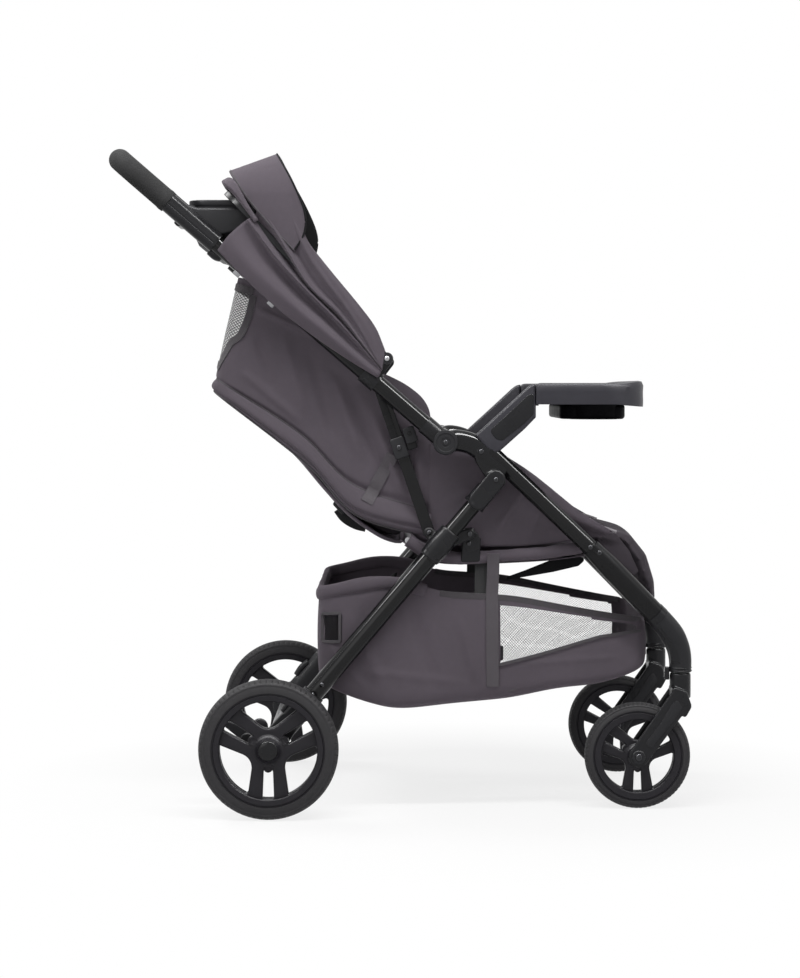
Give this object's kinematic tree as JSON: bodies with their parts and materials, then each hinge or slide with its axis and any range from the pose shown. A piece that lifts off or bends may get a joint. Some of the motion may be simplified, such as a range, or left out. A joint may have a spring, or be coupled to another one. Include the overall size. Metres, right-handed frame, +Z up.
{
  "type": "folding stroller",
  "caption": "Folding stroller with reclining seat, pleated canopy, child tray, parent console, open basket, swivelling front casters and a linked frame fold.",
  "frame": {"origin": "on the ground, below the middle of the unfolded stroller's overall box", "axes": "+X in the direction of travel, +Y towards the child's left side, +Z up"},
  "size_m": [0.9377, 0.611, 1.0615],
  "materials": {
    "frame": "satin black powder coat",
    "plastic": "fine textured black moulding",
    "rim": "matte black moulding",
    "tyre": "charcoal solid foam tyre",
    "foam": "soft black grip foam",
    "fabric": "dark warm grey woven polyester",
    "steel": "plain steel rod"
  },
  "bodies": {
    "front_frame": {"front_leg_right": "frame", "front_leg_left": "frame", "hub_housing_right": "plastic", "hub_housing_left": "plastic", "caster_housing_right": "plastic", "caster_housing_left": "plastic", "tray_arm_right": "plastic", "tray_arm_left": "plastic", "seat_side_right": "fabric", "seat_side_left": "fabric", "footrest": "plastic", "calf_rest": "fabric", "basket": "fabric"},
    "handle": {"handle_tube": "frame", "handle_grip": "foam", "parent_console": "plastic", "handle_knuckle_right": "plastic", "handle_knuckle_left": "plastic", "canopy_clamp_right": "plastic", "canopy_clamp_left": "plastic", "seat_surround": "fabric", "canopy_fabric": "fabric"},
    "rear_frame": {"rear_leg_right": "frame", "rear_leg_left": "frame", "rear_bracket_right": "plastic", "rear_bracket_left": "plastic", "axle_housing_right": "plastic", "axle_housing_left": "plastic", "rear_axle": "steel"},
    "collars": {"collar_right": "plastic", "collar_left": "plastic"},
    "fold_links": {"fold_link_right": "frame", "fold_link_left": "frame"},
    "seat_frame": {"seat_rail_right": "frame", "seat_rail_left": "frame", "seat_pad": "fabric"},
    "back_hinge": {"back_rod": "steel", "back_board": "plastic", "recline_toggle": "plastic"},
    "back": {"backrest": "fabric"},
    "canopy_mid": {"canopy_mid_bow": "frame"},
    "canopy_front": {"canopy_front_bow": "frame", "canopy_visor": "fabric"},
    "tray": {"child_tray": "plastic", "tray_liner": "plastic"},
    "trigger": {"fold_trigger": "plastic"},
    "brake": {"brake_pedal": "plastic"},
    "caster_right": {"caster_fork_right": "plastic"},
    "caster_left": {"caster_fork_left": "plastic"},
    "lock_right": {"swivel_lock_right": "plastic"},
    "lock_left": {"swivel_lock_left": "plastic"},
    "front_wheel_right": {"tyre_front_right": "tyre", "rim_front_right": "rim"},
    "front_wheel_left": {"tyre_front_left": "tyre", "rim_front_left": "rim"},
    "rear_wheel_right": {"tyre_rear_right": "tyre", "rim_rear_right": "rim"},
    "rear_wheel_left": {"tyre_rear_left": "tyre", "rim_rear_left": "rim"}
  },
  "joints": [
    {"name": "handle_fold", "type": "hinge", "parent": "front_frame", "child": "handle", "pos_m": [0.0723, 0, 0.5905], "axis": [0, 1, 0], "range_deg": [-140, 0], "deforming": ["seat_surround", "calf_rest", "basket"]},
    {"name": "rear_leg_fold", "type": "hinge", "parent": "front_frame", "child": "rear_frame", "pos_m": [0.1513, 0, 0.5317], "axis": [0, 1, 0], "range_deg": [-54, 0]},
    {"name": "collar_slide", "type": "slide", "parent": "rear_frame", "child": "collars", "axis": [-0.6468, 0, -0.7627], "range_m": [0, 0.2125]},
    {"name": "link_fold", "type": "hinge", "parent": "collars", "child": "fold_links", "pos_m": [0.0463, 0, 0.4462], "axis": [0, 1, 0], "range_deg": [0, 46.5]},
    {"name": "seat_fold", "type": "hinge", "parent": "front_frame", "child": "seat_frame", "pos_m": [0.3013, 0, 0.4243], "axis": [0, 1, 0], "range_deg": [-79.5, 0]},
    {"name": "back_fold", "type": "hinge", "parent": "seat_frame", "child": "back_hinge", "pos_m": [0.0128, 0, 0.4327], "axis": [0, 1, 0], "range_deg": [0, 96]},
    {"name": "recline", "type": "hinge", "parent": "back_hinge", "child": "back", "pos_m": [0.0128, 0, 0.4327], "axis": [0, 1, 0], "range_deg": [0, 35]},
    {"name": "canopy_open", "type": "hinge", "parent": "handle", "child": "canopy_mid", "pos_m": [-0.0206, 0, 0.7231], "axis": [0, 1, 0], "range_deg": [0, 45], "deforming": ["canopy_fabric"]},
    {"name": "visor_open", "type": "hinge", "parent": "canopy_mid", "child": "canopy_front", "pos_m": [-0.0206, 0, 0.7231], "axis": [0, 1, 0], "range_deg": [0, 45]},
    {"name": "tray_slide", "type": "slide", "parent": "front_frame", "child": "tray", "axis": [1, 0, 0], "range_m": [0, 0.06]},
    {"name": "trigger_squeeze", "type": "hinge", "parent": "handle", "child": "trigger", "pos_m": [-0.3455, 0, 0.951], "axis": [0, 1, 0], "range_deg": [0, 12], "stiffness_Nm_per_rad": 0.5, "springref_deg": -5.73},
    {"name": "brake_press", "type": "hinge", "parent": "rear_frame", "child": "brake", "pos_m": [-0.244, 0, 0.118], "axis": [0, -1, 0], "range_deg": [0, 25]},
    {"name": "caster_swivel_right", "type": "hinge", "parent": "front_frame", "child": "caster_right", "pos_m": [0.4518, -0.18, 0.218], "axis": [0, 0, 1], "continuous": true},
    {"name": "caster_swivel_left", "type": "hinge", "parent": "front_frame", "child": "caster_left", "pos_m": [0.4518, 0.18, 0.218], "axis": [0, 0, 1], "continuous": true},
    {"name": "swivel_lock_right", "type": "slide", "parent": "front_frame", "child": "lock_right", "axis": [0, 0, -1], "range_m": [0, 0.008]},
    {"name": "swivel_lock_left", "type": "slide", "parent": "front_frame", "child": "lock_left", "axis": [0, 0, -1], "range_m": [0, 0.008]},
    {"name": "front_wheel_right_spin", "type": "hinge", "parent": "caster_right", "child": "front_wheel_right", "pos_m": [0.3825, -0.18, 0.085], "axis": [0, 1, 0], "continuous": true},
    {"name": "front_wheel_left_spin", "type": "hinge", "parent": "caster_left", "child": "front_wheel_left", "pos_m": [0.3825, 0.18, 0.085], "axis": [0, 1, 0], "continuous": true},
    {"name": "rear_wheel_right_spin", "type": "hinge", "parent": "rear_frame", "child": "rear_wheel_right", "pos_m": [-0.2063, -0.285, 0.11], "axis": [0, 1, 0], "continuous": true},
    {"name": "rear_wheel_left_spin", "type": "hinge", "parent": "rear_frame", "child": "rear_wheel_left", "pos_m": [-0.2063, 0.285, 0.11], "axis": [0, 1, 0], "continuous": true}
  ],
  "couplings": [
    {"joint": "rear_leg_fold", "follows": "handle_fold", "ratio": 0.38191},
    {"joint": "collar_slide", "follows": "handle_fold", "m_per_rad": -0.086672},
    {"joint": "link_fold", "follows": "handle_fold", "ratio": -0.32937},
    {"joint": "seat_fold", "follows": "handle_fold", "ratio": 0.56525},
    {"joint": "back_fold", "follows": "handle_fold", "ratio": -0.68},
    {"joint": "visor_open", "follows": "canopy_open", "ratio": 1}
  ]
}
